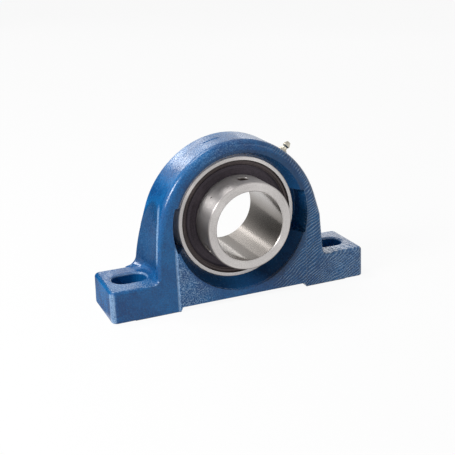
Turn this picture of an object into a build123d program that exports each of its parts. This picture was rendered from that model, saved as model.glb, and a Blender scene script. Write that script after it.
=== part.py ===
from build123d import *
from math import cos, radians, sin, sqrt, tan
import os

# Pillow block bearing: a cast block on two slotted feet that holds a self-aligning insert bearing.
# The origin is on the base, under the shaft axis. X runs along the base, Y along the shaft, Z up.
# The front, with the collar and its two set screws, faces -Y. All sizes are in millimetres.

# Insert bearing
bore_d = 60.0
outer_sphere_d = 110.0
outer_width = 26.0
collar_reach = 39.7
tail_reach = 25.4
bore_chamfer = 0.8
inner_corner = 0.6
outer_corner = 0.5

# Rolling set
ball_d = 15.875
ball_count = 10
race_conformity = 0.517
race_clearance = 0.02
outer_shoulder_depth = 3.3
inner_shoulder_drop = 4.7
cage_thickness = 6.0
cage_back_reach = 9.3
cage_claw_reach = 4.2
cage_claw_wall = 2.2
cage_web_start = 3.4
pocket_clearance = 0.14

# Seals, the same at both ends
outer_lip_width = 5.4
seal_seat_y = 9.6
washer_thickness = 0.9
washer_lift = 1.8
washer_rim_width = 2.2
washer_rim_height = 2.1
lip_clearance = 0.06
lip_length = 1.5
flinger_gap = 0.3
flinger_thickness = 1.0
flinger_edge_gap = 1.3
flinger_hub_wall = 1.0
flinger_hub_length = 2.7

# Punch mark on the collar
punch_angle = -48.6
punch_from_end = 15.2
punch_d = 1.8
punch_depth = 0.7

# Set screws in the collar
screw_d = 10.0
screw_length = 7.0
screw_clearance = 0.05
screw_from_end = 13.3
screw_socket_width = 5.0
screw_socket_depth = 4.2
screw_cup_d = 6.0
screw_cup_depth = 0.8
screw_tip_gap = 0.1
screw_chamfer = 0.8
screw_angles = (0.0, -120.0)

# Grease way from the nipple to the bearing
nipple_angle = 45.0
nipple_thread_d = 6.0
nipple_thread_length = 7.0
nipple_hex_width = 7.0
nipple_hex_height = 3.2
nipple_neck_r = 2.3
nipple_neck_z = 5.6
nipple_head_r = 3.25
nipple_head_z = 7.0
nipple_head_height = 0.9
nipple_tip_r = 1.75
nipple_height = 11.0
nipple_mouth_r = 1.05
nipple_chamber_r = 1.5
nipple_channel_r = 0.9
nipple_spring_seat_z = 2.0
valve_ball_r = 1.3
valve_seat_slope = 0.6
valve_clearance = 0.02
valve_travel = 0.8
spring_wire_r = 0.18
spring_mean_r = 1.12
spring_pitch = 0.95
spot_face_d = 9.0
spot_face_depth = 0.3
grease_drill_d = 3.0
grease_pocket_d = 4.0
ring_hole_d = 2.0
ring_hole_y = 8.2

# Housing: seat and arch
shaft_height = 69.9
seat_clearance = 0.05
seat_flare = 0.62
mouth_margin = 5.5
crown_wall = 14.0
flank_wall = 17.3
shoulder_start_angle = 60.0
flank_angle = 16.0
arch_edge_r = 6.0
loading_slot_height = 38.0
loading_slot_reach = 1.8

# Housing: feet and base
base_depth = 56.0
face_lean = 0.06
foot_thickness = 27.0
foot_corner_r = 5.0
foot_top_edge_r = 3.0
foot_bottom_edge_r = 1.0
leg_blend_r = 9.0
leg_blend_sink = 0.1
leg_run_out = 3.0
pad_inner_x = 60.0
pad_slope_run = 2.0
underside_rise = 3.8

# Housing: flank scoops
scoop_r = 37.0
scoop_lip_r = 4.0
scoop_lip_rise = 0.1
scoop_wall = 17.0
scoop_lean = 2.3
scoop_floor_r = 5.0
scoop_height = 70.0

# Housing: bolt slots, the space that they leave to the leg, and the foot beyond their centres
slot_width = 20.0
slot_length = 30.0
slot_mouth_r = 2.0
slot_leg_gap = 1.0
foot_end_margin = 24.0

# Housing: front block and cored pockets
block_half_width = 61.0
block_step_width = 1.3
block_rise = 0.7
block_top_z = 58.0
pocket_inner_x = 34.0
pocket_outer_x = 54.0
pocket_width = 30.0
pocket_corner_r = 4.0
pocket_roof_r = 3.0
pocket_wall = 7.0

# Sizes that follow from the ones above
sphere_r = outer_sphere_d / 2
seat_r = sphere_r + seat_clearance
half_width = outer_width / 2
mouth_r = sphere_r + mouth_margin
ball_r = ball_d / 2
pitch_r = (bore_d + outer_sphere_d) / 4
inner_r = pitch_r - inner_shoulder_drop
seal_recess_r = sphere_r - outer_lip_width
washer_inner_r = inner_r + washer_lift
race_r = race_conformity * ball_d
inner_race_bottom = pitch_r - ball_r - race_clearance
outer_race_bottom = pitch_r + ball_r + race_clearance
outer_shoulder_r = outer_race_bottom - outer_shoulder_depth
cage_pocket_r = ball_r + pocket_clearance
washer_end_y = seal_seat_y + washer_thickness
flinger_start_y = washer_end_y + flinger_gap
crown_r = sphere_r + crown_wall
flank_r = sphere_r + flank_wall
half_depth = base_depth / 2
scoop_inner_x = sphere_r + scoop_wall
slot_centre_x = scoop_inner_x + scoop_floor_r + slot_leg_gap + slot_mouth_r + slot_length / 2
base_length = 2 * (slot_centre_x + foot_end_margin)
margin = 2.0
same = 0.01
over_height = shaft_height + crown_r + margin

shaft_axis = Axis((0, 0, shaft_height), (0, 1, 0))
# The bearing's section plane: first coordinate along the shaft, second the radius.
section_plane = Plane(origin=(0, 0, shaft_height), x_dir=(0, 1, 0), z_dir=(1, 0, 0))

os.makedirs("parts", exist_ok=True)


def radial_plane(angle, y, r):
    """Plane square to the radius at an angle from the top towards +X."""
    a = radians(angle)
    return Plane(
        origin=(r * sin(a), y, shaft_height + r * cos(a)),
        x_dir=(0, 1, 0),
        z_dir=(sin(a), 0, cos(a)),
    )


def face_y(z):
    """Half depth of the block at a height: its front and rear faces lean inwards."""
    return half_depth - face_lean * z


def save(piece, label):
    """Name a finished piece and write it."""
    piece.part.label = label
    export_step(piece.part, f"parts/{label}.step")


# Envelope that the leaning front and rear faces bound, as a prism along X
with BuildPart() as lean_envelope:
    with BuildSketch(Plane.YZ):
        Polygon(
            (-face_y(0), 0),
            (face_y(0), 0),
            (face_y(over_height), over_height),
            (-face_y(over_height), over_height),
            align=None,
        )
    extrude(amount=base_length, both=True)

# Arch and legs: the crown arc, a shoulder arc tangent to it, and a straight flank on each side
crown_end = radians(shoulder_start_angle)
flank_tilt = radians(flank_angle)
shoulder_extra = (flank_r - crown_r) / (1 - cos(crown_end - flank_tilt))
shoulder_r = crown_r + shoulder_extra
shoulder_start = (crown_r * cos(crown_end), shaft_height + crown_r * sin(crown_end))
shoulder_end = (
    shoulder_r * cos(flank_tilt) - shoulder_extra * cos(crown_end),
    shaft_height + shoulder_r * sin(flank_tilt) - shoulder_extra * sin(crown_end),
)
leg_foot_z = foot_thickness - leg_blend_sink
leg_foot_x = (flank_r - (leg_foot_z - shaft_height) * sin(flank_tilt)) / cos(flank_tilt)
leg_end_x = leg_foot_x + leg_blend_r + leg_run_out

with BuildPart() as arch:
    with BuildSketch(Plane.XZ) as arch_outline:
        with BuildLine():
            crown_mid = (0, shaft_height + crown_r)
            ThreePointArc((-shoulder_start[0], shoulder_start[1]), crown_mid, shoulder_start)
            for side in (-1, 1):
                start = (side * shoulder_start[0], shoulder_start[1])
                end = (side * shoulder_end[0], shoulder_end[1])
                RadiusArc(start, end, side * shoulder_r)
                Polyline(
                    end,
                    (side * leg_foot_x, leg_foot_z),
                    (side * leg_end_x, leg_foot_z),
                    (side * leg_end_x, 0),
                    (0, 0),
                )
        make_face()
        corners = arch_outline.vertices().filter_by(lambda v: abs(abs(v.X) - leg_foot_x) < same)
        fillet(corners, leg_blend_r)
    extrude(amount=base_depth, both=True)
    add(lean_envelope.part, mode=Mode.INTERSECT)
    rims = arch.edges().filter_by(lambda e: abs(e.center().Y) > half_width and e.center().Z > foot_thickness)
    fillet(rims, arch_edge_r)

# Foot slab, with round corners and softened edges
with BuildPart() as foot:
    with BuildSketch():
        Rectangle(base_length, 2 * base_depth)
    extrude(amount=foot_thickness)
    add(lean_envelope.part, mode=Mode.INTERSECT)
    upright = foot.edges().filter_by(lambda e: abs(e.center().Z - foot_thickness / 2) < same)
    fillet(upright, foot_corner_r)
    fillet(foot.edges().group_by(Axis.Z)[-1], foot_top_edge_r)
    fillet(foot.edges().group_by(Axis.Z)[0], foot_bottom_edge_r)


def scoop_outline(side, z):
    """What the scoop removes at a height: a hollow arc, and past its lips the corners of the leg."""
    face = face_y(z)
    middle_x = scoop_inner_x + scoop_r - (z - foot_thickness) * tan(radians(scoop_lean))
    lip_y = face - scoop_lip_r + scoop_lip_rise
    reach = scoop_r + scoop_lip_r
    lip_x = middle_x - sqrt(reach**2 - lip_y**2)
    slope_x = (middle_x - lip_x) / reach
    slope_y = lip_y / reach
    join = (lip_x + scoop_lip_r * slope_x, lip_y - scoop_lip_r * slope_y)
    # The middle of a lip's arc is half way between its start, straight out, and the join
    half_x = slope_x
    half_y = 1 - slope_y
    half = sqrt(half_x**2 + half_y**2)
    lip_mid = (lip_x + scoop_lip_r * half_x / half, lip_y + scoop_lip_r * half_y / half)
    top_y = lip_y + scoop_lip_r
    outer_x = middle_x + scoop_r
    with BuildSketch(Plane.XY.offset(z)) as outline:
        with BuildLine():
            ThreePointArc(
                (side * join[0], -join[1]),
                (side * (middle_x - scoop_r), 0),
                (side * join[0], join[1]),
            )
            for end in (-1, 1):
                ThreePointArc(
                    (side * join[0], end * join[1]),
                    (side * lip_mid[0], end * lip_mid[1]),
                    (side * lip_x, end * top_y),
                )
                Polyline(
                    (side * lip_x, end * top_y),
                    (side * lip_x, end * base_depth),
                    (side * outer_x, end * base_depth),
                    (side * outer_x, 0),
                )
        make_face()
    return outline.sketch


def scoop_tool(side):
    """Leaning hollow with soft lips and a rounded floor edge, which opens the flank on one side."""
    with BuildPart() as tool:
        add(scoop_outline(side, foot_thickness))
        add(scoop_outline(side, foot_thickness + scoop_height))
        loft(ruled=True)
        floor = tool.edges().group_by(Axis.Z)[0].filter_by(GeomType.LINE, reverse=True)
        fillet(floor, scoop_floor_r)
    return tool.part


def block_tool(end):
    """Slightly proud block under the bore, on the front (-1) or the rear (+1)."""
    step_x = block_half_width - block_step_width
    with BuildPart() as tool:
        with BuildSketch():
            Polygon(
                (-block_half_width, 0),
                (block_half_width, 0),
                (block_half_width, end * half_depth),
                (step_x, end * (half_depth + block_rise)),
                (-step_x, end * (half_depth + block_rise)),
                (-block_half_width, end * half_depth),
                align=None,
            )
        extrude(amount=block_top_z, dir=(0, -end * face_lean, 1))
    return tool.part


# Spherical seat with its flared mouths, as a solid of revolution
seat_edge_r = sqrt(seat_r**2 - half_width**2)
flare_end_y = half_width + (mouth_r - seat_edge_r) / seat_flare
seat_reach = half_depth + margin
with BuildPart() as seat_tool:
    with BuildSketch(section_plane):
        with BuildLine():
            ThreePointArc((-half_width, seat_edge_r), (0, seat_r), (half_width, seat_edge_r))
            for end in (-1, 1):
                Polyline(
                    (end * half_width, seat_edge_r),
                    (end * flare_end_y, mouth_r),
                    (end * seat_reach, mouth_r),
                    (end * seat_reach, 0),
                    (0, 0),
                )
        make_face()
    revolve(axis=shaft_axis)

# Slots at shaft height through which the insert is put in edgewise and then turned
with BuildPart() as loading_tool:
    with BuildSketch(Plane.XZ):
        with Locations((0, shaft_height)):
            Circle(mouth_r + loading_slot_reach)
            Rectangle(2 * crown_r, loading_slot_height, mode=Mode.INTERSECT)
    extrude(amount=seat_reach)

# Cored pockets under the seat, on either side of a central web, with soft roof edges
pocket_roof_z = shaft_height - sqrt(seat_r**2 - pocket_inner_x**2) - pocket_wall
with BuildPart() as pocket_tool:
    with BuildSketch():
        with Locations(*[(side * (pocket_inner_x + pocket_outer_x) / 2, 0) for side in (-1, 1)]):
            RectangleRounded(pocket_outer_x - pocket_inner_x, pocket_width, pocket_corner_r)
    extrude(amount=pocket_roof_z)
    fillet(pocket_tool.edges().group_by(Axis.Z)[-1], pocket_roof_r)

nipple_seat_r = crown_r - spot_face_depth
nipple_plane = radial_plane(nipple_angle, 0, nipple_seat_r)
drill_plane = radial_plane(nipple_angle, 0, sphere_r)
pocket_plane = Plane(origin=drill_plane.origin, x_dir=drill_plane.z_dir, z_dir=(0, 1, 0))

with BuildPart() as housing:
    add(arch.part)
    add(foot.part)
    for side in (-1, 1):
        add(scoop_tool(side), mode=Mode.SUBTRACT)
    for end in (-1, 1):
        add(block_tool(end))
    # Raised underside between the two pads
    with BuildSketch(Plane.XZ):
        Polygon(
            (-pad_inner_x, 0),
            (pad_inner_x, 0),
            (pad_inner_x - pad_slope_run, underside_rise),
            (pad_slope_run - pad_inner_x, underside_rise),
            align=None,
        )
    extrude(amount=base_depth, both=True, mode=Mode.SUBTRACT)
    add(pocket_tool.part, mode=Mode.SUBTRACT)
    # Bolt slots through the feet, with rounded mouths
    with BuildSketch():
        with GridLocations(2 * slot_centre_x, 0, 2, 1):
            SlotOverall(slot_length, slot_width)
    extrude(amount=foot_thickness, mode=Mode.SUBTRACT)
    foot_tops = housing.edges().filter_by(lambda e: abs(e.center().Z - foot_thickness) < same)
    mouths = foot_tops.filter_by(
        lambda e: abs(abs(e.center().X) - slot_centre_x) < slot_length / 2
        and abs(e.center().Y) < slot_width / 2 + same
    )
    fillet(mouths, slot_mouth_r)
    # Seat, flared mouths and loading slots
    add(seat_tool.part, mode=Mode.SUBTRACT)
    add(loading_tool.part, mode=Mode.SUBTRACT)
    # Spot face, threaded hole and drilling for the grease nipple, and the pocket it feeds
    with BuildSketch(nipple_plane):
        Circle(spot_face_d / 2)
    extrude(amount=crown_wall, mode=Mode.SUBTRACT)
    with BuildSketch(nipple_plane):
        Circle(nipple_thread_d / 2)
    extrude(amount=-nipple_thread_length, mode=Mode.SUBTRACT)
    with BuildSketch(nipple_plane):
        Circle(grease_drill_d / 2)
    extrude(amount=-crown_wall, mode=Mode.SUBTRACT)
    with BuildSketch(pocket_plane):
        Circle(grease_pocket_d / 2)
    extrude(amount=ring_hole_y + grease_pocket_d / 2, mode=Mode.SUBTRACT)
save(housing, "housing")

# Outer ring: spherical outside, one deep groove inside, and a recess for the seal at each end
outer_face_r = sqrt(sphere_r**2 - (half_width - outer_corner) ** 2)
outer_race_edge = sqrt(race_r**2 - (race_r - outer_shoulder_depth) ** 2)
with BuildPart() as outer_ring:
    with BuildSketch(section_plane):
        with BuildLine():
            corner_y = half_width - outer_corner
            ThreePointArc((-corner_y, outer_face_r), (0, sphere_r), (corner_y, outer_face_r))
            for end in (-1, 1):
                Polyline(
                    (end * corner_y, outer_face_r),
                    (end * half_width, outer_face_r - outer_corner),
                    (end * half_width, seal_recess_r),
                    (end * seal_seat_y, seal_recess_r),
                    (end * seal_seat_y, outer_shoulder_r),
                    (end * outer_race_edge, outer_shoulder_r),
                )
            ThreePointArc(
                (-outer_race_edge, outer_shoulder_r),
                (0, outer_race_bottom),
                (outer_race_edge, outer_shoulder_r),
            )
        make_face()
    revolve(axis=shaft_axis)
    with BuildSketch(radial_plane(nipple_angle, ring_hole_y, sphere_r)):
        Circle(ring_hole_d / 2)
    extrude(amount=-(sphere_r - outer_shoulder_r + margin), mode=Mode.SUBTRACT)
save(outer_ring, "outer_ring")

# Inner ring: a long sleeve with the collar for the set screws at the front
inner_race_edge = sqrt(race_r**2 - (race_r - (inner_r - inner_race_bottom)) ** 2)
screw_y = screw_from_end - collar_reach
with BuildPart() as inner_ring:
    with BuildSketch(section_plane):
        with BuildLine():
            bore_r = bore_d / 2
            ThreePointArc(
                (-inner_race_edge, inner_r),
                (0, inner_race_bottom),
                (inner_race_edge, inner_r),
            )
            for end, reach in ((-1, collar_reach), (1, tail_reach)):
                Polyline(
                    (end * inner_race_edge, inner_r),
                    (end * (reach - inner_corner), inner_r),
                    (end * reach, inner_r - inner_corner),
                    (end * reach, bore_r + bore_chamfer),
                    (end * (reach - bore_chamfer), bore_r),
                    (0, bore_r),
                )
        make_face()
    revolve(axis=shaft_axis)
    for angle in screw_angles:
        with BuildSketch(radial_plane(angle, screw_y, 0)):
            Circle(screw_d / 2 + screw_clearance)
        extrude(amount=crown_r, mode=Mode.SUBTRACT)
    with BuildSketch(radial_plane(punch_angle, punch_from_end - collar_reach, inner_r)):
        Circle(punch_d / 2)
    extrude(amount=-punch_depth, taper=45, mode=Mode.SUBTRACT)
save(inner_ring, "inner_ring")

# Balls on their pitch circle
ball_step = 360 / ball_count
for i in range(ball_count):
    with BuildPart() as ball:
        with Locations(radial_plane(i * ball_step, 0, pitch_r)):
            Sphere(ball_r)
    save(ball, f"ball_{i + 1:02d}")

# Cage: a back ring behind the balls, with a pair of claws round each ball that snaps over it
with BuildPart() as cage:
    with BuildSketch(section_plane):
        with Locations(((cage_back_reach - cage_claw_reach) / 2, pitch_r)):
            Rectangle(cage_back_reach + cage_claw_reach, cage_thickness)
    revolve(axis=shaft_axis)
    gap_width = 2 * pitch_r * sin(radians(ball_step / 2)) - 2 * (cage_pocket_r + cage_claw_wall)
    for i in range(ball_count):
        with Locations(radial_plane(i * ball_step, 0, pitch_r)):
            Sphere(cage_pocket_r, mode=Mode.SUBTRACT)
        with BuildSketch(radial_plane((i + 0.5) * ball_step, 0, 0)):
            with Locations(((cage_web_start - cage_claw_reach) / 2, 0)):
                Rectangle(cage_web_start + cage_claw_reach, gap_width)
        extrude(amount=crown_r, mode=Mode.SUBTRACT)
save(cage, "cage")

# Seals: a steel washer with a raised rim in the outer ring's recess, a rubber lip on its inner edge
# that runs on the inner ring, and a flinger in front that turns with the inner ring
for end, name in ((-1, "front"), (1, "rear")):
    rim_inner_r = seal_recess_r - washer_rim_width
    rim_end_y = seal_seat_y + washer_rim_height
    with BuildPart() as seal_washer:
        with BuildSketch(section_plane):
            Polygon(
                (end * seal_seat_y, washer_inner_r),
                (end * seal_seat_y, seal_recess_r),
                (end * rim_end_y, seal_recess_r),
                (end * rim_end_y, rim_inner_r),
                (end * washer_end_y, rim_inner_r),
                (end * washer_end_y, washer_inner_r),
                align=None,
            )
        revolve(axis=shaft_axis)
    save(seal_washer, f"{name}_seal_washer")

    lip_r = inner_r + lip_clearance
    with BuildPart() as seal_lip:
        with BuildSketch(section_plane):
            Polygon(
                (end * washer_end_y, washer_inner_r),
                (end * seal_seat_y, washer_inner_r),
                (end * (washer_end_y - lip_length), lip_r),
                (end * (washer_end_y - lip_length / 2), lip_r),
                align=None,
            )
        revolve(axis=shaft_axis)
    save(seal_lip, f"{name}_seal_lip")

    flinger_end_y = flinger_start_y + flinger_thickness
    hub_r = inner_r + flinger_hub_wall
    with BuildPart() as flinger:
        with BuildSketch(section_plane):
            Polygon(
                (end * flinger_start_y, inner_r),
                (end * flinger_start_y, rim_inner_r - flinger_edge_gap),
                (end * flinger_end_y, rim_inner_r - flinger_edge_gap),
                (end * flinger_end_y, hub_r),
                (end * (flinger_start_y + flinger_hub_length), hub_r),
                (end * (flinger_start_y + flinger_hub_length), inner_r),
                align=None,
            )
        revolve(axis=shaft_axis)
    save(flinger, f"{name}_flinger")

# Set screws, with a hexagon socket outside and a cup point inside
screw_tip_r = bore_d / 2 + screw_tip_gap
for i, angle in enumerate(screw_angles):
    with BuildPart() as set_screw:
        with BuildSketch(radial_plane(angle, screw_y, screw_tip_r)):
            Circle(screw_d / 2)
        extrude(amount=screw_length)
        rims = set_screw.edges().filter_by(GeomType.CIRCLE)
        chamfer(rims, screw_chamfer)
        with BuildSketch(radial_plane(angle, screw_y, screw_tip_r + screw_length)):
            RegularPolygon(screw_socket_width / 2, 6, major_radius=False)
        extrude(amount=-screw_socket_depth, mode=Mode.SUBTRACT)
        with BuildSketch(radial_plane(angle, screw_y, screw_tip_r)):
            Circle(screw_cup_d / 2)
        extrude(amount=screw_cup_depth, taper=45, mode=Mode.SUBTRACT)
    save(set_screw, f"set_screw_{i + 1}")

# Grease nipple: hexagon body with a shank in the housing's thread and a head for the grease gun
nipple_axis = Axis(nipple_plane.origin, nipple_plane.z_dir)
# Section plane of the nipple: first coordinate the radius, second the height over its seat.
nipple_section = Plane(origin=nipple_plane.origin, x_dir=(0, 1, 0), z_dir=-nipple_plane.y_dir)
mouth_z = nipple_height - nipple_head_height
seat_drop = (nipple_chamber_r - nipple_mouth_r) / valve_seat_slope
seat_z = mouth_z - seat_drop
with BuildPart() as nipple_body:
    with BuildSketch(nipple_plane):
        RegularPolygon(nipple_hex_width / 2, 6, major_radius=False)
    extrude(amount=nipple_hex_height)
    with BuildSketch(nipple_section):
        Polygon(
            (0, -nipple_thread_length),
            (nipple_thread_d / 2, -nipple_thread_length),
            (nipple_thread_d / 2, nipple_hex_height),
            (nipple_neck_r, nipple_neck_z),
            (nipple_head_r, nipple_head_z),
            (nipple_head_r, nipple_head_z + nipple_head_height),
            (nipple_tip_r, nipple_height),
            (0, nipple_height),
            align=None,
        )
    revolve(axis=nipple_axis)
    with BuildSketch(nipple_section):
        Polygon(
            (0, -nipple_thread_length),
            (nipple_channel_r, -nipple_thread_length),
            (nipple_channel_r, nipple_spring_seat_z),
            (nipple_chamber_r, nipple_spring_seat_z),
            (nipple_chamber_r, seat_z),
            (nipple_mouth_r, mouth_z),
            (nipple_mouth_r, nipple_height),
            (0, nipple_height),
            align=None,
        )
    revolve(axis=nipple_axis, mode=Mode.SUBTRACT)
save(nipple_body, "grease_nipple_body")

# Valve ball under the nipple's mouth, resting against the cone
seat_slant = sqrt(seat_drop**2 + (nipple_chamber_r - nipple_mouth_r) ** 2)
wall_gap = valve_ball_r + valve_clearance
seat_reach_z = (nipple_chamber_r * seat_drop - wall_gap * seat_slant) / (nipple_chamber_r - nipple_mouth_r)
valve_z = seat_z + seat_reach_z
with BuildPart() as valve_ball:
    with Locations(nipple_plane.offset(valve_z)):
        Sphere(valve_ball_r)
save(valve_ball, "grease_nipple_ball")

# Spring on the chamber's floor, at the length it has with the ball pressed in
spring_start_z = nipple_spring_seat_z + spring_wire_r
ball_contact = sqrt(valve_ball_r**2 - (spring_mean_r - spring_wire_r) ** 2)
spring_end_z = valve_z - valve_travel - ball_contact - spring_wire_r
with BuildPart() as spring:
    with BuildLine() as coil:
        Helix(
            spring_pitch,
            spring_end_z - spring_start_z,
            spring_mean_r,
            center=nipple_plane.offset(spring_start_z).origin,
            direction=nipple_plane.z_dir,
        )
    with BuildSketch(Plane(origin=coil.line @ 0, z_dir=coil.line % 0)):
        Circle(spring_wire_r)
    sweep(path=coil.line, is_frenet=True)
save(spring, "grease_nipple_spring")
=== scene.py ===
# Pillow block bearing: finishes, pressed and turned detail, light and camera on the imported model.
import math
import bpy
import numpy as np
from mathutils import Matrix, Vector


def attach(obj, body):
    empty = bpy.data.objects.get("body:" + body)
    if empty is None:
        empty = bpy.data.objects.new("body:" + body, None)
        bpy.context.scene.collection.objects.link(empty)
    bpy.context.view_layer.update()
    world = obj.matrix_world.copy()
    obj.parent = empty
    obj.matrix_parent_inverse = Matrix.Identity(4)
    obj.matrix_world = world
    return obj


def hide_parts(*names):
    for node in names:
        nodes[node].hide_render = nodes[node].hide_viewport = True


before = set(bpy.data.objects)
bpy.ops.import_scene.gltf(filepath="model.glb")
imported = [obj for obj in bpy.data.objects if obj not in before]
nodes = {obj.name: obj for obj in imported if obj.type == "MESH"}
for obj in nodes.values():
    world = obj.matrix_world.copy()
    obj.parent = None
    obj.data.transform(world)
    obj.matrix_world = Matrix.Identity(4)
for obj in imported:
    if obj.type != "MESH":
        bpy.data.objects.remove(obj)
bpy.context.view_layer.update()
scene = bpy.context.scene
mm = 0.001
shaftZ = 0.0699  # height of the shaft axis over the base
print("frame:", len(nodes), "nodes")


# Small helpers

def linear(hexCode):
    # sRGB hex to the linear colour that the shaders take
    channels = [int(hexCode[i:i + 2], 16) / 255 for i in (0, 2, 4)]
    return tuple(c / 12.92 if c <= 0.04045 else ((c + 0.055) / 1.055) ** 2.4 for c in channels) + (1.0,)


def add(tree, kind, inputs=(), output=0, **settings):
    # one node with its settings and links: each input, by number or name, is a value or another node's
    # output, and what comes back is one of the node's own outputs
    node = tree.nodes.new("ShaderNode" + kind)
    for key, value in settings.items():
        setattr(node, key, value)
    for key, value in inputs.items() if isinstance(inputs, dict) else enumerate(inputs):
        if isinstance(value, bpy.types.NodeSocket):
            tree.links.new(value, node.inputs[key])
        else:
            node.inputs[key].default_value = value
    return node.outputs[output]


def newMaterial(name, **values):
    # a material, its tree and its shader, with plain values on the shader's sockets
    material = bpy.data.materials.new(name)
    material.use_nodes = True
    tree = material.node_tree
    shader = tree.nodes["Principled BSDF"]
    for key, value in values.items():
        shader.inputs[key.replace("_", " ")].default_value = value
    return material, tree, shader


def feed(tree, shader, **outputs):
    # links what was worked out to the shader's sockets
    for key, value in outputs.items():
        tree.links.new(value, shader.inputs[key.replace("_", " ")])


def farFrom(tree, first, second):
    # how far two distances at right angles reach together: the root of the sum of their squares
    squares = [add(tree, "Math", (distance, distance), operation="MULTIPLY") for distance in (first, second)]
    return add(tree, "Math", (add(tree, "Math", squares, operation="ADD"),), operation="SQRT")


def fromShaft(tree, where):
    # the point's x, y and z in metres, its height over the shaft axis and its radius from that axis
    x, y, z = add(tree, "SeparateXYZ", (where,)).node.outputs
    height = add(tree, "Math", (z, shaftZ), operation="SUBTRACT")
    return x, y, z, height, farFrom(tree, x, height)


def overlaid(tree, colour, layers):
    # each layer, an amount and a hex colour, laid over the last
    for amount, tint in layers:
        colour = add(tree, "Mix", {0: amount, 6: colour, 7: linear(tint)}, 2, data_type="RGBA")
    return colour


def raised(tree, normal, layers):
    # each layer, a height from 0 to 1 and its depth in mm, raised on the last
    for height, depthMm in layers:
        inputs = {"Height": height, "Distance": depthMm * mm, "Strength": 1.0, "Normal": normal}
        normal = add(tree, "Bump", inputs)
    return normal


# Blue enamel on a sand-cast iron block: glossy and wavy like a dipped coat, with the sand's grain
# showing through, and bare milled iron where the casting was machined; its colour also holds painted
# highlights and painted shade

enamel = dict(
    fresh="0F66A3", deep="0B467E", lit="2C77B2", highlightPale="94B4D4", dark="073A6C", paintedNavyShade="1B3654",
    iron="8C8A87", ironDark="6F6D6B", ironRough=0.42, ironMetal=0.85, edgeMm=0.8,
    rough=(0.35, 0.7, 0.16, 0.30),  # the peel's low and high values, and the roughness at each
    # patterns: mm across, detail, roughness
    patterns=dict(grain=(1.0, 2.0, 0.6), peel=(2.6, 1.0, 0.5), swell=(14.0, 2.0, 0.5),
                  patches=(26.0, 3.0, 0.6), wander=(24.0, 1.0, 0.5), breaks=(7.0, 2.0, 0.5),
                  milled=(1.4, 4.0, 0.5)),
    depthMm=dict(swell=0.25, peel=0.05, ripple=0.26, grain=0.05),
    # tints of the coat: a pattern, its values where the tint starts and is full, and how strong it gets
    tints=dict(deep=("patches", 0.35, 0.65, 1.0), dark=("grain", 0.50, 0.40, 0.55),
               lit=("grain", 0.54, 0.66, 0.40)),
    paintedGlint=(0.50, 0.62, 0.0, 0.85),  # painted glints: the grain's values where the specks turn pale as highlights, and the tint's range
    coarser=3.2,  # times deeper where the grain is coarse
)
ripples = dict(
    pitchMm=2.5, wanderMm=11.0, slant=(-0.52, 0.0, 0.86),
    breaks=(0.34, 0.56), least=0.35,  # where the ridges fade, and what is left of them there
    crestHighlight=(0.55, 0.95, 0.0, 0.72),  # the part of a ridge painted pale as a highlight, and the tint's range
)
# painted highlights along the edges
edgeHighlights = dict(
    edge=(0.985, 0.90, 0.0, 0.55),  # how far a rounded edge turns from its face, and the tint's range
    grain=(0.40, 0.56, 0.45, 1.0),  # the painted highlight broken up by the grain: its values, and what is left between the grains
)
hollowAxis = dict(x=110.1, lean=0.0402)  # mm at the base, and mm inwards for each mm up
boltSlot = dict(x=95.0, halfStraight=5.0)  # mm: its middle, and half the length between its round ends
# the flare's radii in mm for its painted shade, the outer one growing over a stretch of x so that the shade
# reaches over the loading slot's end
mouthFlare = dict(inner=60.0, outerLeft=61.2, outerRight=68.5, fromX=10.0, toX=45.0)
milledSeat = dict(radius=55.3, aboveZ=12.0, halfWidth=11.5, padTop=0.3)  # mm

# where the coat differs, and where its colour holds painted highlights and painted shade: how strongly, and
# the zone's edges, each a smooth step on one of the housing's distances from nothing at its first mm to full
# at its second
frontFace = ("y", -17.0, -22.0)
zones = dict(
    # ridges in the coat, with painted highlights on their crests
    rightLeg=(1.0, [("x", 57.0, 64.0), frontFace]),
    rightRim=(0.8, [("x", 20.0, 44.0), ("radius", 62.5, 65.5), ("y", -10.0, -18.0)]),
    # coarse sand grain, with painted glints on it: pale specks that stand for highlights
    leftBlock=(1.0, [("x", -61.2, -60.4), ("x", -20.0, -46.0), frontFace, ("radius", 60.5, 63.5),
                     ("z", 60.0, 45.0)]),
    leftFoot=(0.8, [("x", -78.0, -82.0), ("y", -6.0, -12.0), ("z", 26.2, 27.0)]),
    crown=(0.35, [("z", 112.0, 126.0), ("x", 20.0, -10.0)]),
    rightFoot=(0.5, [("x", 70.0, 82.0), frontFace, ("z", 32.0, 27.0)]),
    hollowGrainGlints=(0.12, [("hollow", 38.6, 36.8), ("z", 28.0, 34.0), ("z", 75.0, 55.0)]),
    # painted shade in the hollows and in the mouth's flare
    hollow=(0.50, [("hollow", 38.6, 36.8), ("z", 28.0, 34.0)]),
    mouthFront=(0.60, [("y", -10.0, -13.0)]),
    # painted highlights down a foot's corner, along the hollows' lips, round the slots' rims and on the
    # block's edge
    footCorner=(0.75, [("x", -115.0, -116.8), ("y", -20.5, -22.5), ("z", 26.2, 24.0)]),
    hollowLip=(0.675, [("hollow", 37.2, 37.6), ("hollow", 39.6, 38.8), ("z", 40.0, 50.0),
                       ("y", -8.0, -14.0)]),
    slotRim=(0.45, [("slot", 11.6, 11.0), ("z", 25.0, 25.8), ("z", 29.0, 28.0)]),
    blockEdge=(0.60, [("x", -62.2, -61.6), ("x", -59.4, -60.2), ("z", 58.0, 52.0), frontFace]),
    # the painted edge highlights stay outside the mouth
    outsideMouth=(1.0, [("radius", 61.2, 62.5)]),
)


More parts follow.
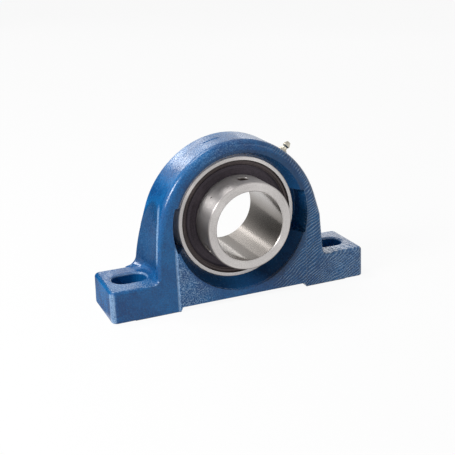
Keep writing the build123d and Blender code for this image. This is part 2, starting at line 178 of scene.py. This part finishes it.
def inZones(tree, distances, *names):
    # at each point the strongest of some zones, each its strength times the steps over all its edges
    strongest = 0.0
    for name in names:
        mask, edges = zones[name]
        for distance, nothingAt, fullAt in edges:
            step = add(tree, "MapRange", (distances[distance], nothingAt * mm, fullAt * mm),
                       interpolation_type="SMOOTHSTEP")
            mask = add(tree, "Math", (mask, step), operation="MULTIPLY")
        strongest = add(tree, "Math", (strongest, mask), operation="MAXIMUM")
    return strongest


def housingDistances(tree, where):
    # metres from the middle planes, the base, the shaft axis, the hollows' axes and the bolt slots
    x, y, z, _, radius = fromShaft(tree, where)
    aside = add(tree, "Math", (x,), operation="ABSOLUTE")
    # the hollows in the legs' flanks are round an axis that leans in towards the top
    level = add(tree, "Math", (aside, hollowAxis["x"] * mm), operation="SUBTRACT")
    leaning = add(tree, "Math", (z, hollowAxis["lean"], level), operation="MULTIPLY_ADD")
    # a slot's ends are round, about the two ends of its straight part
    beside = add(tree, "Math", (aside, boltSlot["x"] * mm), operation="SUBTRACT")
    beside = add(tree, "Math", (beside,), operation="ABSOLUTE")
    beyond = add(tree, "Math", (beside, boltSlot["halfStraight"] * mm), operation="SUBTRACT")
    beyond = add(tree, "Math", (beyond, 0.0), operation="MAXIMUM")
    return dict(x=x, y=y, z=z, radius=radius, hollow=farFrom(tree, leaning, y), slot=farFrom(tree, beyond, y))


def milledIron(tree, at):
    # 1 on bare iron, 0 on the coat: the seat in the housing's mouth, and the two pads underneath
    depth = add(tree, "Math", (at["y"],), operation="ABSOLUTE")
    bare = add(tree, "Math", (depth, milledSeat["halfWidth"] * mm), operation="LESS_THAN")
    for name, test, limit in (("radius", "LESS_THAN", "radius"), ("z", "GREATER_THAN", "aboveZ")):
        passed = add(tree, "Math", (at[name], milledSeat[limit] * mm), operation=test)
        bare = add(tree, "Math", (bare, passed), operation="MULTIPLY")
    pads = add(tree, "Math", (at["z"], milledSeat["padTop"] * mm), operation="LESS_THAN")
    return add(tree, "Math", (bare, pads), operation="MAXIMUM")


def enamelledCastIron():
    material, tree, shader = newMaterial("blueEnamelOnCastIron", Metallic=0.0, IOR=1.42)
    where = add(tree, "TexCoord", output="Object")
    at = housingDistances(tree, where)
    patterns = {}
    for name, (size, detail, roughness) in enamel["patterns"].items():
        inputs = {"Vector": where, "Scale": 1 / (size * mm), "Detail": detail, "Roughness": roughness}
        patterns[name] = add(tree, "TexNoise", inputs)
    grain = patterns["grain"]

    # ridges that the dipped paint left on the right leg and foot and the arch's right rim: a sine
    # along a slanting direction, whose phase wanders and which breaks off here and there
    slant = add(tree, "VectorMath", (where, ripples["slant"]), "Value", operation="DOT_PRODUCT")
    wandered = add(tree, "Math", (patterns["wander"], ripples["wanderMm"] * mm, slant),
                   operation="MULTIPLY_ADD")
    phase = add(tree, "Math", (wandered, 2 * math.pi / (ripples["pitchMm"] * mm)), operation="MULTIPLY")
    ripple = add(tree, "MapRange", (add(tree, "Math", (phase,), operation="SINE"), -1.0, 1.0))
    broken = add(tree, "MapRange", (patterns["breaks"], *ripples["breaks"], ripples["least"], 1.0),
                 interpolation_type="SMOOTHSTEP")
    rippled = add(tree, "Math", (inZones(tree, at, "rightLeg", "rightRim"), broken), operation="MULTIPLY")
    # each ridge's crest is painted pale: a painted highlight over the ridge's real relief
    crestHighlight = add(tree, "MapRange", (ripple, *ripples["crestHighlight"]), interpolation_type="SMOOTHSTEP")
    crestHighlight = add(tree, "Math", (crestHighlight, rippled), operation="MULTIPLY")

    # coarser sand grain, with painted glints on it, on the front block and the feet, and a little in the
    # hollows and on the crown
    coarseGrainAndGlints = inZones(tree, at, "leftBlock", "leftFoot", "crown", "rightFoot", "hollowGrainGlints")
    # painted glints: pale specks on the grain standing for highlights
    paintedGlint = add(tree, "MapRange", (grain, *enamel["paintedGlint"]))
    paintedGlint = add(tree, "Math", (paintedGlint, coarseGrainAndGlints), operation="MULTIPLY")

    # the mouth's flare and the hollows are painted navy: painted shade in these recesses,
    # which in the flare runs out wider on the right, over the loading slot's end
    f = {name: size * mm for name, size in mouthFlare.items()}
    outer = add(tree, "MapRange", (at["x"], f["fromX"], f["toX"], f["outerLeft"], f["outerRight"]),
                interpolation_type="SMOOTHSTEP")
    inFlare = add(tree, "MapRange", (at["radius"], outer, f["inner"]), interpolation_type="SMOOTHSTEP")
    inFlare = add(tree, "Math", (inFlare, inZones(tree, at, "mouthFront")), operation="MULTIPLY")
    recessShade = add(tree, "Math", (inFlare, inZones(tree, at, "hollow")), operation="MAXIMUM")

    # painted highlights: pale lines over sharp edges and at a few lips and corners
    softEdge = add(tree, "Bevel", {"Radius": enamel["edgeMm"] * mm}, samples=6)
    trueNormal = add(tree, "NewGeometry", output="Normal")
    agreement = add(tree, "VectorMath", (softEdge, trueNormal), "Value", operation="DOT_PRODUCT")
    paintedEdgeHighlight = add(tree, "MapRange", (agreement, *edgeHighlights["edge"]))
    highlightedLips = inZones(tree, at, "footCorner", "hollowLip", "slotRim", "blockEdge")
    paintedEdgeHighlight = add(tree, "Math", (paintedEdgeHighlight, highlightedLips), operation="MAXIMUM")
    for limit in (add(tree, "MapRange", (grain, *edgeHighlights["grain"])), inZones(tree, at, "outsideMouth")):
        paintedEdgeHighlight = add(tree, "Math", (paintedEdgeHighlight, limit), operation="MULTIPLY")

    tints = [(add(tree, "MapRange", (patterns[name], starts, full, 0.0, most)), enamel[tint])
             for tint, (name, starts, full, most) in enamel["tints"].items()]
    colour = overlaid(tree, linear(enamel["fresh"]), tints + [
        (paintedGlint, enamel["highlightPale"]), (crestHighlight, enamel["highlightPale"]), (recessShade, enamel["paintedNavyShade"]), (paintedEdgeHighlight, enamel["highlightPale"])])
    iron = overlaid(tree, linear(enamel["iron"]), [(patterns["milled"], enamel["ironDark"])])
    bare = milledIron(tree, at)
    rough = add(tree, "MapRange", (patterns["peel"], *enamel["rough"]))
    ridges = add(tree, "Math", (ripple, rippled), operation="MULTIPLY")
    sand = add(tree, "MapRange", (coarseGrainAndGlints, 0.0, 1.0, 1.0, enamel["coarser"]))
    sand = add(tree, "Math", (grain, sand), operation="MULTIPLY")
    heights = dict(swell=patterns["swell"], peel=patterns["peel"], ripple=ridges, grain=sand)
    relief = [(heights[name], depth) for name, depth in enamel["depthMm"].items()]
    feed(tree, shader,
         Base_Color=add(tree, "Mix", {0: bare, 6: colour, 7: iron}, 2, data_type="RGBA"),
         Metallic=add(tree, "Mix", {0: bare, 2: 0.0, 3: enamel["ironMetal"]}),
         Roughness=add(tree, "Mix", {0: bare, 2: rough, 3: enamel["ironRough"]}),
         Normal=raised(tree, softEdge, relief))
    return material


# Bearing steel, turned and ground: fine lines run round the shaft, so a highlight spreads across them

steel = dict(
    ground=dict(name="groundBearingSteel", colour="D2CECC", dark="B3AFAD", rough=0.42,
                lineMm=0.35, depthMm=0.004, speckMm=0.8),
    washer=dict(name="pressedSheetSteel", colour="5E5656", dark="443E3E", rough=0.40,
                lineMm=0.5, depthMm=0.006, speckMm=1.2),
    # the flingers have a phosphate coat, which is dark with a dull sheen
    flinger=dict(name="phosphatedSheetSteel", colour="4A4349", dark="302B30", rough=0.38,
                 lineMm=0.8, depthMm=0.008, speckMm=1.0),
)
paleLitRingSteel = dict(name="litGroundRingSteel", colour="E6E2E0", dark="C8C4C2")  # a paler copy of the ground steel: painted light, making the outer ring brighter than the other steel
steelTones = dict(
    lines=(3.0, 0.65), specks=(3.0, 0.6), clouds=(2.0, 0.5),  # each pattern's detail and roughness
    slowTurnMm=1.0,  # how far a pattern moves for each radian along a turned line
    lineShare=0.4, speckShare=0.6,  # what the lines and the specks give to the tone
    tone=(0.38, 0.62),  # where the tone is dark and where it is pale
    cloudMm=16.0, cloudTint=(0.4, 0.7, 0.0, 0.35),  # the clouds' values, and the range of their pale tint
    speckDepth=1.2, edgeMm=0.25,  # times the lines' depth, and the rounding of the edges
)
uneven = dict(low=0.3, high=0.7, smoother=0.05, rougher=0.08)  # how a finish's gloss follows its grain
# the bore is ground finer than the outside: mm of radius where that changes, and the roughness factors
fineBore = dict(inner=30.1, outer=30.4, inside=0.50, outside=1.0)
# painted shade towards the bottom of the bore and of the collar's outside, which is also a little darker all
# round: mm of height where it starts and is full, and mm of radius
lowShade = dict(startZ=92.0, fullZ=66.0, bore="7C7670", boreTo=30.2, boreMost=0.9,
            collar="6E6866", collarFrom=37.0, collarTo=37.82, collarLeast=0.5, collarMost=0.8)
# dirt in the collar's punch mark, in mm: it is full within the inner reach
punch = dict(place=(-28.28, -24.5, 94.83), reach=1.0, innerReach=0.8, colour="2B2725")
darkEdgeLine = dict(inner=49.4, outer=50.3, colour="3B3634")  # mm: a dark line along the outer ring's inner edge


def between(tree, radius, inner, outer):
    # 1 where the radius is between two, in mm
    above = add(tree, "Math", (radius, inner * mm), operation="GREATER_THAN")
    below = add(tree, "Math", (radius, outer * mm), operation="LESS_THAN")
    return add(tree, "Math", (above, below), operation="MULTIPLY")


def paintedLowShade(tree, z, radius):
    # layers of painted shade, darker towards the bottom: in the bore, and round the collar's outside, which
    # is also a little darker all round
    low = add(tree, "MapRange", (z, lowShade["startZ"] * mm, lowShade["fullZ"] * mm), interpolation_type="SMOOTHSTEP")
    inBore = add(tree, "Math", (low, between(tree, radius, 0.0, lowShade["boreTo"])), operation="MULTIPLY")
    inBore = add(tree, "Math", (inBore, lowShade["boreMost"]), operation="MULTIPLY")
    collarDarkening = add(tree, "Math", (low, lowShade["collarLeast"]), operation="MAXIMUM")
    collarDarkening = add(tree, "Math", (collarDarkening, lowShade["collarMost"]), operation="MULTIPLY")
    onCollar = between(tree, radius, lowShade["collarFrom"], lowShade["collarTo"])
    onCollar = add(tree, "Math", (collarDarkening, onCollar), operation="MULTIPLY")
    return [(inBore, lowShade["bore"]), (onCollar, lowShade["collar"])]


def turnedSteel(name, colour, dark, rough, lineMm, depthMm, speckMm, metallic=1.0, ringEdge=False):
    material, tree, shader = newMaterial(name, Metallic=metallic, Anisotropic=0.85, Anisotropic_Rotation=0.25)
    where = add(tree, "TexCoord", output="Object")
    x, y, z, height, radius = fromShaft(tree, where)
    # a point that hardly moves along a turned line: radius, place along the shaft and a slow angle
    angle = add(tree, "Math", (x, height), operation="ARCTAN2")
    slowAngle = add(tree, "Math", (angle, steelTones["slowTurnMm"] * mm), operation="MULTIPLY")
    turned = add(tree, "CombineXYZ", (radius, y, slowAngle))
    patterns = {}
    for kind, place, size in (("lines", turned, lineMm), ("specks", where, speckMm),
                              ("clouds", where, steelTones["cloudMm"])):
        detail, roughness = steelTones[kind]
        inputs = {"Vector": place, "Scale": 1 / (size * mm), "Detail": detail, "Roughness": roughness}
        patterns[kind] = add(tree, "TexNoise", inputs)
    lines, specks = patterns["lines"], patterns["specks"]
    tone = add(tree, "Math", (lines, steelTones["lineShare"]), operation="MULTIPLY")
    tone = add(tree, "Math", (specks, steelTones["speckShare"], tone), operation="MULTIPLY_ADD")
    mark = [side * mm for side in punch["place"]]
    away = add(tree, "VectorMath", (where, mark), "Value", operation="DISTANCE")
    layers = [
        (add(tree, "MapRange", (tone, *steelTones["tone"])), colour),
        (add(tree, "MapRange", (patterns["clouds"], *steelTones["cloudTint"])), colour),
        *paintedLowShade(tree, z, radius),
        (add(tree, "MapRange", (away, punch["reach"] * mm, punch["innerReach"] * mm)), punch["colour"]),
    ]
    if ringEdge:
        layers.append((between(tree, radius, darkEdgeLine["inner"], darkEdgeLine["outer"]), darkEdgeLine["colour"]))
    b = fineBore
    finer = add(tree, "MapRange", (radius, b["inner"] * mm, b["outer"] * mm, b["inside"], b["outside"]))
    rougher = add(tree, "MapRange", (specks, uneven["low"], uneven["high"], rough - uneven["smoother"],
                                     rough + uneven["rougher"]))
    # a turned line runs square to its radius, along (height, 0, -x)
    backwards = add(tree, "Math", (x, -1.0), operation="MULTIPLY")
    alongLine = add(tree, "CombineXYZ", {"X": height, "Z": backwards})
    softEdge = add(tree, "Bevel", {"Radius": steelTones["edgeMm"] * mm}, samples=4)
    feed(tree, shader,
         Base_Color=overlaid(tree, linear(dark), layers),
         Roughness=add(tree, "Math", (rougher, finer), operation="MULTIPLY"),
         Tangent=add(tree, "VectorTransform", (alongLine,), vector_type="VECTOR", convert_from="OBJECT",
                     convert_to="WORLD"),
         Normal=raised(tree, softEdge, [(lines, depthMm), (specks, depthMm * steelTones["speckDepth"])]))
    return material


# The small parts' finishes: one colour with darker stains, and a fine grain in the gloss and the surface

smallParts = dict(stainGrains=9, stain=(0.35, 0.65), edgeMm=0.12)  # a stain is so many grains wide


def simpleFinish(name, colour, dark, rough, grainMm, depthMm, metallic=0.0, **more):
    material, tree, shader = newMaterial(name, Metallic=metallic, **more)
    where = add(tree, "TexCoord", output="Object")
    stainMm = grainMm * smallParts["stainGrains"]
    grain = add(tree, "TexNoise", {"Vector": where, "Scale": 1 / (grainMm * mm), "Detail": 3.0,
                                   "Roughness": 0.6})
    stain = add(tree, "TexNoise", {"Vector": where, "Scale": 1 / (stainMm * mm), "Detail": 2.0})
    stained = add(tree, "MapRange", (stain, *smallParts["stain"]))
    softEdge = add(tree, "Bevel", {"Radius": smallParts["edgeMm"] * mm}, samples=4)
    feed(tree, shader,
         Base_Color=overlaid(tree, linear(colour), [(stained, dark)]),
         Roughness=add(tree, "MapRange", (grain, uneven["low"], uneven["high"], rough - uneven["smoother"],
                                          rough + uneven["rougher"])),
         Normal=raised(tree, softEdge, [(grain, depthMm)]))
    return material


blueEnamel = enamelledCastIron()
groundSteel = turnedSteel(**steel["ground"])
ringSteel = turnedSteel(**{**steel["ground"], **paleLitRingSteel}, ringEdge=True)
washerSteel = turnedSteel(**steel["washer"])
flingerSteel = turnedSteel(**steel["flinger"], metallic=0.8)
# lapped balls are like mirrors, blackened screws keep a dull brown sheen, zinc plate is pale and bright,
# drawn wire shines, and the moulded cage and the rubber lips are nearly matt;
# each has its name, colour, stains' colour, roughness, mm of grain and mm of the grain's depth
polishedBall = simpleFinish("lappedBallSteel", "C9C8C7", "B9B8B7", 0.08, 0.6, 0.0005, metallic=1.0)
blackScrew = simpleFinish("blackenedScrewSteel", "6B5E58", "4A413D", 0.36, 0.3, 0.008, metallic=0.9)
zincNipple = simpleFinish("zincPlate", "C6C1B2", "9C968A", 0.26, 0.4, 0.006, metallic=1.0)
springWire = simpleFinish("drawnSpringWire", "8E8F91", "7A7B7D", 0.25, 0.2, 0.003, metallic=1.0)
cagePolymer = simpleFinish("mouldedPolyamide", "A8946E", "98845F", 0.45, 0.5, 0.012, IOR=1.53)
sealRubber = simpleFinish("nitrileRubber", "161413", "1D1B1A", 0.55, 0.3, 0.012, IOR=1.52)

finishes = {
    "housing": blueEnamel, "outer_ring": ringSteel, "inner_ring": groundSteel, "cage": cagePolymer,
    "front_seal_washer": washerSteel, "rear_seal_washer": washerSteel, "front_seal_lip": sealRubber,
    "rear_seal_lip": sealRubber, "front_flinger": flingerSteel, "rear_flinger": flingerSteel,
    "set_screw_1": blackScrew, "set_screw_2": blackScrew, "grease_nipple_body": zincNipple,
    "grease_nipple_ball": polishedBall, "grease_nipple_spring": springWire,
}
for node, piece in nodes.items():
    finish = polishedBall if node.startswith("ball_") else finishes[node]
    piece.data.materials.clear()
    piece.data.materials.append(finish)
print("finishes: on", len(nodes), "nodes")


# New surfaces: a grid of points, worked out as whole arrays

def gridMesh(name, points, wrapRows, wrapColumns, material, body):
    # points is rows x columns x 3; each cell of the grid becomes one quad, and rows that don't join up
    # with the first again get a flat cap at each end
    rows, columns = points.shape[:2]
    i = np.arange(rows if wrapRows else rows - 1)
    j = np.arange(columns if wrapColumns else columns - 1)
    i, j = (a.ravel() for a in np.meshgrid(i, j, indexing="ij"))
    up, right = (i + 1) % rows, (j + 1) % columns
    quads = np.stack([i * columns + j, i * columns + right, up * columns + right, up * columns + j], 1)
    flat = points.reshape(-1, 3)
    # six times the enclosed volume, from the cone that each half quad makes with the middle
    first, second, third, fourth = (flat[quads[:, k]] - flat.mean(0) for k in range(4))
    volume = (first * np.cross(second, third)).sum() + (first * np.cross(third, fourth)).sum()
    outward = volume > 0
    loops = [quads if outward else quads[:, ::-1]]
    starts = [np.arange(len(quads)) * 4]
    if not wrapRows:
        for start, turned in ((0, not outward), ((rows - 1) * columns, outward)):
            starts.append([sum(loop.size for loop in loops)])
            cap = start + np.arange(columns)
            loops.append(cap if turned else cap[::-1])
    order = np.concatenate([loop.ravel() for loop in loops])
    starts = np.concatenate(starts)
    mesh = bpy.data.meshes.new(name)
    mesh.vertices.add(rows * columns)
    mesh.vertices.foreach_set("co", flat.ravel().astype(np.float32))
    mesh.loops.add(order.size)
    mesh.loops.foreach_set("vertex_index", order.astype(np.int32))
    mesh.polygons.add(len(starts))
    mesh.polygons.foreach_set("loop_start", starts.astype(np.int32))
    mesh.update(calc_edges=True)
    mesh.polygons.foreach_set("use_smooth", np.arange(len(starts)) < len(quads))
    mesh.materials.append(material)
    mesh.validate()
    piece = bpy.data.objects.new(name, mesh)
    scene.collection.objects.link(piece)
    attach(piece, body)
    return piece


def roundedLoop(outline, steps):
    # a closed outline of corners (a, b, radius): each becomes an arc of its radius, tangent to both sides
    outline = np.asarray(outline, float)
    corners, radii = outline[:, :2], outline[:, 2]
    before = np.roll(corners, 1, 0) - corners
    after = np.roll(corners, -1, 0) - corners
    before /= np.linalg.norm(before, axis=1, keepdims=True)
    after /= np.linalg.norm(after, axis=1, keepdims=True)
    half = np.arccos(np.clip((before * after).sum(1), -1, 1)) / 2
    reach = (radii / np.tan(half))[:, None]
    bisector = before + after
    bisector /= np.linalg.norm(bisector, axis=1, keepdims=True)
    centre = corners + bisector * (radii / np.sin(half))[:, None]
    first = corners + before * reach - centre
    last = corners + after * reach - centre
    # an even turn about the centre from the first spoke to the last, through the angle between them
    t = np.linspace(0, 1, steps)[None, :, None]
    turn = (np.pi - 2 * half)[:, None, None]
    ofFirst = np.sin((1 - t) * turn) / np.sin(turn)
    ofLast = np.sin(t * turn) / np.sin(turn)
    return (centre[:, None] + first[:, None] * ofFirst + last[:, None] * ofLast).reshape(-1, 2)


def turnedRound(loop, count):
    # the outline (radius, y) in mm carried round the shaft axis: x = r sin a, z = r cos a
    a = np.linspace(0, 2 * np.pi, count, endpoint=False)[:, None]
    r, y = loop[None, :, 0] * mm, loop[None, :, 1] * mm
    return np.stack([r * np.sin(a), y + 0 * a, shaftZ + r * np.cos(a)], 2)


# Flingers: sheet steel discs pressed with a short hub and a rim that curls back towards the seal

flinger = dict(hubInner=37.83, hubOuter=38.9, hubEnd=13.4, face=12.5, back=11.6,
               rimStart=43.6, rim=46.05, rimTop=11.35, rimEnd=10.95, rimWall=0.85, steps=7, count=192)


def pressedFlinger(name, side):
    # a closed outline of corners (radius, distance from the mid plane, rounding), turned round the shaft
    f = flinger
    loop = roundedLoop([
        (f["hubInner"], f["hubEnd"], 0.25), (f["hubOuter"], f["hubEnd"], 0.25),
        (f["hubOuter"], f["face"], 0.5), (f["rimStart"], f["face"], 1.8), (f["rim"], f["rimTop"], 0.7),
        (f["rim"], f["rimEnd"], 0.3), (f["rim"] - f["rimWall"], f["rimEnd"], 0.3),
        (f["rimStart"], f["back"], 0.9), (f["hubInner"], f["back"], 0.1),
    ], f["steps"])
    loop[:, 1] *= side
    disc = turnedRound(loop, f["count"])
    return gridMesh(name, disc, True, True, flingerSteel, "inner_ring")


frontFlinger = pressedFlinger("pressed_flinger_front", -1)
rearFlinger = pressedFlinger("pressed_flinger_rear", 1)
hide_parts("front_flinger")
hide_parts("rear_flinger")


# A blank pad on the crown, as cast for a plate that this part leaves off

crownPad = dict(fromX=-25.0, toX=-9.0, fromY=-1.0, toY=11.0, rise=0.45, sink=0.15, edge=1.6,
                crownR=69.0, root=1.5, rows=61, columns=49)


def blankPad():
    # on the crown's cylinder: x = R sin a, z = axis + R cos a, where R rises from just under the
    # surface to the pad's height by a smooth step from each edge, the smaller of the two steps
    c = crownPad
    first, last = (math.asin(c[end] / c["crownR"]) for end in ("fromX", "toX"))
    a = np.linspace(first, last, c["rows"])[:, None]
    y = np.linspace(c["fromY"], c["toY"], c["columns"])[None, :]
    arc = a * c["crownR"]
    inward = np.minimum(np.minimum(arc - arc[0], arc[-1] - arc), np.minimum(y - c["fromY"], c["toY"] - y))
    t = np.clip(inward / c["edge"], 0, 1)
    r = c["crownR"] - c["sink"] + (c["rise"] + c["sink"]) * t * t * (3 - 2 * t)
    # each row goes back under the surface, which closes the body inside the casting
    r = np.concatenate([r, np.full_like(r, c["crownR"] - c["root"])], 1)
    y = np.concatenate([y, y[:, ::-1]], 1)
    return np.stack([r * np.sin(a) * mm, (y + 0 * a) * mm, shaftZ + r * np.cos(a) * mm], 2)


gridMesh("blank_crown_pad", blankPad(), False, True, blueEnamel, "housing")


# Webs at the rear of the flank hollows: the casting stays wide there, where the front is cut back

web = dict(
    hollowR=37.12, hollowX=109.0, lean=0.0402, corner=2.6, rim=6.0, flankR=72.3, flankTilt=16.0,
    shoulderX=-5.88, shoulderZ=59.72, shoulderR=80.76, straightTo=81.97, flankInset=0.1,
    rearY=28.0, rearLean=0.06, rearInset=0.08, footTop=27.0, blendR=9.0, blendFromY=14.0, blendOver=10.0,
    wall=5.0, fromY=9.0, fromZ=26.0, toZ=99.0, rows=74, columns=44, soften=1.2,
)


def rounding(radius, past):
    # how far a rounded edge falls away, at a distance past the start of its arc
    return radius - np.sqrt(np.maximum(radius ** 2 - np.clip(past, 0, radius) ** 2, 0))


def rearWeb(side):
    # x over (y, z) is the lesser of the hollow's arc about its leaning axis, less a rounded corner at
    # the rear face, and the flank's slope, less its rim's rounding, with a soft change between the two
    w = web
    z = np.linspace(w["fromZ"], w["toZ"], w["rows"])[:, None]
    rear = w["rearY"] - w["rearLean"] * z - w["rearInset"]
    t = np.sin(np.linspace(0, np.pi / 2, w["columns"]))[None, :]
    y = w["fromY"] + (rear - w["fromY"]) * t
    middle = w["hollowX"] - (z - w["footTop"]) * w["lean"]
    flare = rounding(w["blendR"], w["footTop"] + w["blendR"] - z)
    near = np.clip((y - w["blendFromY"]) / w["blendOver"], 0, 1)
    hollow = middle - np.sqrt(w["hollowR"] ** 2 - y ** 2) + flare * near
    hollow = hollow - rounding(w["corner"], y - (rear - w["corner"]))
    tilt = math.radians(w["flankTilt"])
    slope = (w["flankR"] - (z - shaftZ / mm) * math.sin(tilt)) / math.cos(tilt)
    # above the straight flank the outline is the shoulder's arc
    shoulder = w["shoulderX"] + np.sqrt(w["shoulderR"] ** 2 - np.maximum(z - w["shoulderZ"], 0) ** 2)
    slope = np.where(z > w["straightTo"], shoulder, slope) - w["flankInset"]
    flank = slope - rounding(w["rim"], y - (rear - w["rim"])) + 2 * flare
    gap = np.clip(w["soften"] - np.abs(hollow - flank), 0, None)
    x = np.minimum(hollow, flank) - gap ** 2 / (4 * w["soften"])
    inner = np.minimum(middle - w["hollowR"], slope) - w["wall"]
    x = np.concatenate([x, inner, inner], 1)
    y = np.concatenate([y, rear, np.full_like(z, w["fromY"])], 1)
    return np.stack([side * x * mm, y * mm, (z + 0 * y) * mm], 2)


for side, name in ((-1, "left"), (1, "right")):
    gridMesh(name + "_rear_web", rearWeb(side), False, True, blueEnamel, "housing")
print("new pieces: two pressed flingers, crown pad, two rear webs")


# Camera: fitted to the photograph

shot = dict(place=(-0.27707, -0.63606, 0.30103), yaw=23.2596, pitch=19.4004, roll=-1.3239,
            lens=66.619, sensor=36.0, nearest=0.01, farthest=60.0)
camera = bpy.data.objects.new("camera", bpy.data.cameras.new("camera"))
scene.collection.objects.link(camera)
scene.camera = camera
yaw, pitch, roll = (math.radians(shot[k]) for k in ("yaw", "pitch", "roll"))
ahead = np.array([math.sin(yaw) * math.cos(pitch), math.cos(yaw) * math.cos(pitch), -math.sin(pitch)])
level = np.array([math.cos(yaw), -math.sin(yaw), 0.0])
above = np.cross(level, ahead)
# the camera's columns: to its right, upwards and backwards, turned by the roll, and its place
pose = np.eye(4)
pose[:3, 0] = math.cos(roll) * level + math.sin(roll) * above
pose[:3, 1] = -math.sin(roll) * level + math.cos(roll) * above
pose[:3, 2] = -ahead
pose[:3, 3] = shot["place"]
camera.matrix_world = Matrix(pose.tolist())
camera.data.lens = shot["lens"]
camera.data.sensor_width = shot["sensor"]
camera.data.clip_start = shot["nearest"]
camera.data.clip_end = shot["farthest"]
scene.view_settings.view_transform = "Standard"


# Floor, backdrop colour and lamps

studio = dict(
    surround=0.14,  # how strongly the backdrop's white lights the object
    board="EFEFEF", boardGlow=0.93,  # the board's own tone, and how far the camera sees it as white instead
    boardHalf=20.0, boardZ=-0.0002,  # metres: half of its side, and just under the feet
)


def lookedAt(tree):
    # 1 where the camera, a mirror or glass looks, and 0 where light only spreads
    rays = add(tree, "LightPath").node.outputs
    seen = add(tree, "Math", (rays["Is Camera Ray"], rays["Is Glossy Ray"]), operation="MAXIMUM")
    return add(tree, "Math", (seen, rays["Is Transmission Ray"]), operation="MAXIMUM")


world = bpy.data.worlds.new("paleStudio")
scene.world = world
world.use_nodes = True
sky = world.node_tree
glow = sky.nodes["Background"]
glow.inputs["Color"].default_value = (1.0, 1.0, 1.0, 1.0)
feed(sky, glow, Strength=add(sky, "Mix", {0: lookedAt(sky), 2: studio["surround"], 3: 1.0}))

# the board is matt white, and the camera and mirrors see it near the backdrop's white, shadows kept
boardMaterial, tree, shader = newMaterial("mattWhiteBoard", Roughness=0.9, Base_Color=linear(studio["board"]),
                                          Specular_IOR_Level=0.2)
white = add(tree, "Emission", {"Color": (1.0, 1.0, 1.0, 1.0), "Strength": 1.0})
share = add(tree, "Math", (lookedAt(tree), studio["boardGlow"]), operation="MULTIPLY")
board = add(tree, "MixShader", (share, shader.outputs[0], white))
feed(tree, tree.nodes["Material Output"], Surface=board)


def flatPiece(name, corners, material):
    # one four-sided face that stands in the studio and is no part of the object
    mesh = bpy.data.meshes.new(name)
    mesh.from_pydata(corners, [], [(0, 1, 2, 3)])
    mesh.materials.append(material)
    piece = bpy.data.objects.new(name, mesh)
    scene.collection.objects.link(piece)
    return piece


half = studio["boardHalf"]
boardCorners = [(x * half, y * half, 0) for x, y in ((-1, -1), (1, -1), (1, 1), (-1, 1))]
floor = flatPiece("floor", boardCorners, boardMaterial)
floor.location.z = studio["boardZ"]

lamps = {
    # name: (place, aim, width, height, watts), in metres
    "keyFromLeft": ((-0.97, -0.22, 0.68), (-0.02, 0.0, 0.07), 0.36, 0.36, 11.5),
    "rearSoftbox": ((-0.44, 2.30, 1.00), (-0.02, 0.0, 0.12), 0.42, 0.36, 2.2),
    "rearWide": ((-0.06, 2.34, 1.02), (-0.02, 0.0, 0.12), 1.12, 0.42, 4.3),
    "rearRight": ((1.08, 1.60, 0.62), (0.10, 0.0, 0.03), 0.46, 0.30, 1.1),
    "highRear": ((-0.46, 0.62, 1.42), (-0.03, 0.0, 0.12), 0.55, 0.5, 9.0),
    "frontFill": ((0.75, -1.0, 0.45), (0.0, 0.0, 0.06), 0.5, 0.4, 0.9),
}
for name, (spot, aim, width, height, watts) in lamps.items():
    data = bpy.data.lights.new(name, "AREA")
    data.shape, data.size, data.size_y, data.energy = "RECTANGLE", width, height, watts
    lamp = bpy.data.objects.new(name, data)
    lamp.location = spot
    lamp.rotation_euler = (Vector(aim) - Vector(spot)).to_track_quat("-Z", "Y").to_euler()
    scene.collection.objects.link(lamp)

# two cards outside the picture, a black one upright behind on the left and a mid-grey one flat beside the
# left foot: only gloss sees them, and they give the steel and the enamel their dark parts

cards = {
    # name: (material, tone, four corners in metres)
    "upright_card": ("blackCard", "181818", [(-0.70, 0.20, 0.0), (-0.075, 0.20, 0.0),
                                             (-0.075, 0.20, 0.155), (-0.70, 0.20, 0.155)]),
    "flat_card": ("greyCard", "888888", [(-0.32, -0.04, 0.0004), (-0.126, -0.04, 0.0004),
                                         (-0.090, 0.19, 0.0004), (-0.32, 0.19, 0.0004)]),
}
for name, (paint, tone, corners) in cards.items():
    cardMaterial = newMaterial(paint, Roughness=0.9, Base_Color=linear(tone))[0]
    card = flatPiece(name, corners, cardMaterial)
    card.visible_camera = card.visible_shadow = card.visible_diffuse = False
print("studio:", len(lamps), "lamps and", len(cards), "cards")
